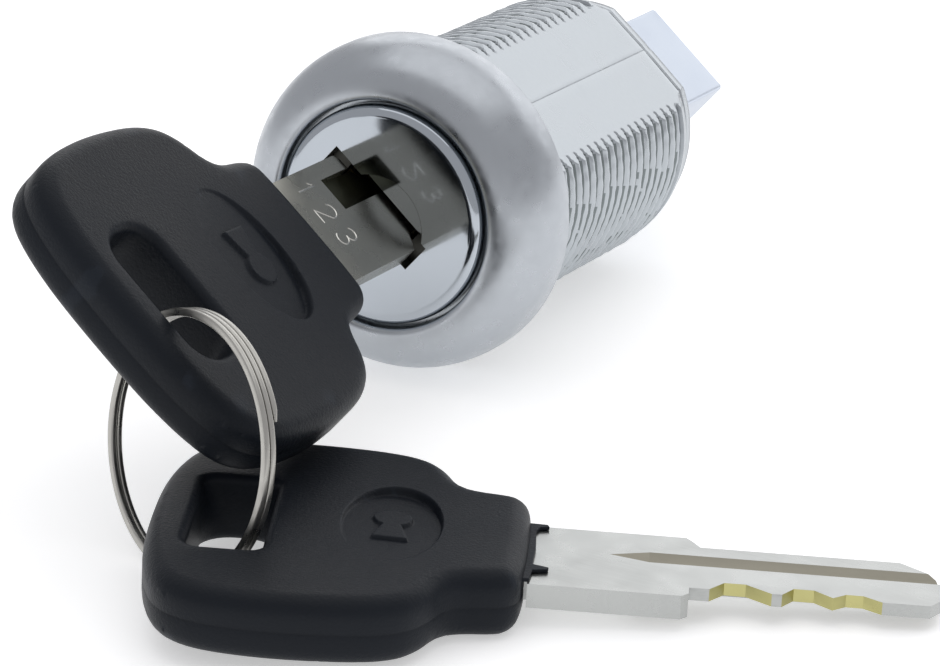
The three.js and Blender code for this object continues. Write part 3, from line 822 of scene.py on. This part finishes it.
def stroke(points, width, where, name, mat, z):
    """A low ridge with a pointed roof along a line of points on a flat face at height z."""
    p = np.asarray(points, float)
    p = p[np.concatenate([[True], np.hypot(*np.diff(p, axis=0).T) > 0.02])]
    t = np.gradient(p, axis=0)
    n = np.stack([-t[:, 1], t[:, 0]], 1) / np.hypot(*t.T)[:, None] * width / 2
    sign = 1 if z > 0 else -1
    foot, roof = z - 0.02 * sign, z + 0.045 * sign
    verts = []
    for a, b in zip(p, n):
        verts += [(*(a - b), foot), (*a, roof), (*(a + b), foot)]
    starts = range(0, 3 * len(p) - 3, 3)
    faces = [(i + j, i + k, i + k + 3, i + j + 3) for j, k in ((0, 1), (1, 2), (2, 0)) for i in starts]
    last = 3 * len(p) - 3
    faces += [(0, 2, 1), (last, last + 1, last + 2)]
    return object_from(name, verts, faces, where, [mat], 60)


def numerals():
    """Plain counting numerals beside the bow of the inserted key."""

    def bend(cx, cy, r, a0, a1):
        return [on_ellipse(cx, cy, r, r, a) for a in np.linspace(a0, a1, 14)]

    glyphs = [
        [(0.25, 1.55), (0.6, 2.1), (0.6, 0.0)],
        bend(0.6, 1.5, 0.58, 170, -30) + [(0.05, 0.0), (1.2, 0.0)],
        bend(0.55, 1.58, 0.52, 150, -90) + bend(0.55, 0.53, 0.53, 90, -150),
    ]
    middles = (-3.3, -0.9, 1.5)
    foot, grow, thick = -7.85, 1.12, 0.22
    for i, (glyph, y) in enumerate(zip(glyphs, middles)):
        line = [(foot + v * grow, y + (u - 0.6) * grow) for u, v in glyph]
        dense = []
        for a, b in zip(np.array(line), np.array(line[1:])):
            dense += [tuple(a + (b - a) * t) for t in np.linspace(0, 1, 4, endpoint=False)]
        dense.append(line[-1])
        ob = stroke(dense, thick, KEY_1, f"numeral_{i + 1}", stamped, -BLADE_FACE)
        weld(ob)
        bound(ob, "key_1", "nickel_key")


def flash():
    """Thin lip of plastic left along the metal at the front of each head."""
    edge = [
        (-11.9, -4.7), (-11.0, -4.6), (-10.85, -3.1), (-9.8, -2.85), (-9.75, -2.5), (-10.9, -2.1),
        (-10.8, 0.4), (-10.95, 3.5), (-10.7, 4.1), (-10.05, 4.3), (-10.2, 4.65), (-11.9, 4.75),
    ]
    for number, where in ((1, KEY_1), (2, KEY_2)):
        ob = prism(f"key_{number}_flash", edge, BLADE_FACE + 0.015, 1.2, where, [black])
        bevel(ob, 0.06, 2, 30)
        bound(ob, f"key_{number}", "black_plastic")


# ------------------------------------------------------------------ split ring
def split_ring():
    """A coil of flat wire, thinner at both of its ends."""
    radius, turns, step = 9.3, 2.3, 0.5
    half_r, half_h, corner = 0.3, 0.225, 0.12
    rise = turns * step
    section = rounded_corners(-half_r, half_r, half_h, corner, 30)
    count = int(150 * turns)
    verts = []
    for i in range(count + 1):
        t = i / count
        a = 2 * math.pi * turns * t
        end = min(t, 1 - t) * turns * 2 * math.pi * radius
        slim = 0.45 + 0.55 * min(1, end / 0.9)
        for dr, dz in section:
            q = radius + dr * slim
            verts.append((q * math.cos(a), q * math.sin(a), rise * (t - 0.5) + dz * slim))
    n = len(section)
    faces = grid_faces(count + 1, n, False, True)
    faces = [f[::-1] for f in faces] + [tuple(range(n)), tuple(range(count * n, (count + 1) * n))[::-1]]
    ob = object_from("ring_coil", verts, faces, RING, [ring_steel], 60)
    weld(ob, 0.0005)
    bound(ob, "split_ring", "ring_steel", "split_ring")


barrel()
rear_plate()
bezel()
plug_face()
plug()
bows()
blades()
numerals()
flash()
split_ring()
for index in range(1, 6):  # the hidden wafers and springs keep their CAD shape
    for node, mat in ((f"wafer_{index}", wafer_brass), (f"wafer_spring_{index}", spring_steel)):
        data = frame["nodes"][node].data
        data.materials.clear()
        data.materials.append(mat)


# ------------------------------------------------------------------ studio
TABLE_HALF, TABLE_Z = 3000, -0.02
TABLE_GLOW = 0.45
WORLD_COLOR, WORLD_STRENGTH = (0.97, 0.97, 1.0, 1), 0.56
LIGHTS_AIM = Vector((0, 0, 0.01))


def sweep_look(tree, shader, color, roughness):
    paper = noise(tree, 3, 2)
    tree.links.new(mix(tree, paper, tint(color, 0.99), tint(color, 1.01)), shader.inputs["Base Color"])


def floor():
    """A pale table that glows a little by itself."""
    mat = material("table", (0.93, 0.93, 0.93), 0, 0.6, sweep_look)
    shader = mat.node_tree.nodes["Principled BSDF"]
    shader.inputs["Emission Color"].default_value = (1, 1, 1, 1)
    shader.inputs["Emission Strength"].default_value = TABLE_GLOW
    corners = [(x * TABLE_HALF, y * TABLE_HALF, TABLE_Z) for x, y in ((-1, -1), (1, -1), (1, 1), (-1, 1))]
    ob = object_from("table", corners, [(0, 1, 2, 3)], Matrix.Identity(4), [mat])


def light(name, at, size, power):
    """A rectangular lamp that points at the object."""
    data = bpy.data.lights.new(name, "AREA")
    data.shape = "RECTANGLE"
    data.size, data.size_y = size
    data.energy = power
    ob = bpy.data.objects.new(name, data)
    bpy.context.scene.collection.objects.link(ob)
    ob.location = at
    ob.rotation_euler = (LIGHTS_AIM - Vector(at)).to_track_quat("-Z", "Y").to_euler()


floor()
light("back_panel", (-0.04, 0.80, 0.36), (1.3, 0.5), 1.9)
light("overhead", (0.0, 0.15, 0.70), (0.9, 0.8), 1.35)
world = bpy.data.worlds.new("world")
bpy.context.scene.world = world
world.use_nodes = True
sky = world.node_tree.nodes["Background"]
sky.inputs["Color"].default_value = WORLD_COLOR
sky.inputs["Strength"].default_value = WORLD_STRENGTH
bpy.context.scene.view_settings.view_transform = "Standard"
